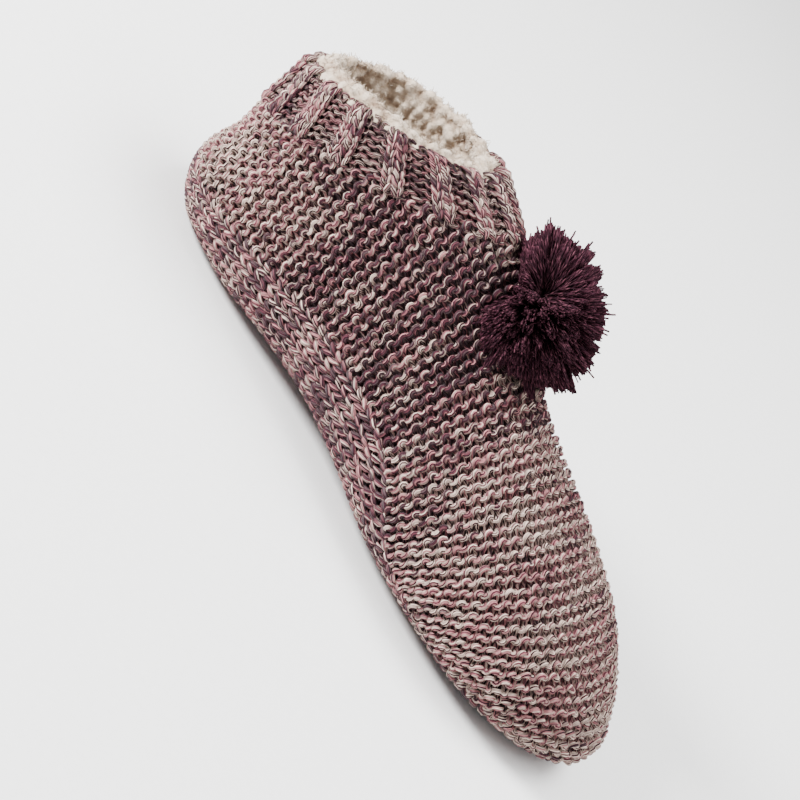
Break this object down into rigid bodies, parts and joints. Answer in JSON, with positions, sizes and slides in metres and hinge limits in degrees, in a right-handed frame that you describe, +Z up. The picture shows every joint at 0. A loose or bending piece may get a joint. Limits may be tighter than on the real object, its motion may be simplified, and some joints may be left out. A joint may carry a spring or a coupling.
{
  "type": "slipper sock",
  "caption": "Ankle-height knitted slipper sock with a smooth-knit sole, ribbed cuff and a yarn pompom on the instep, standing empty on its sole.",
  "frame": {"origin": "on the floor, under the middle of the whole sock's length and width", "axes": "+X from heel to toe, +Y to the wearer's left, +Z up"},
  "size_m": [0.2507, 0.094, 0.1078],
  "materials": {
    "garter_knit": "chunky garter knit in marled pink, cream and plum yarn",
    "smooth_knit": "smooth V-stitch knit in the same marled yarn",
    "ribbed_knit": "two-by-two rib in the same marled yarn",
    "pompom_yarn": "cut ends of dark plum yarn"
  },
  "bodies": {
    "root": {"upper": "garter_knit", "sole": "smooth_knit", "cuff": "ribbed_knit", "pompom": "pompom_yarn"}
  },
  "joints": []
}
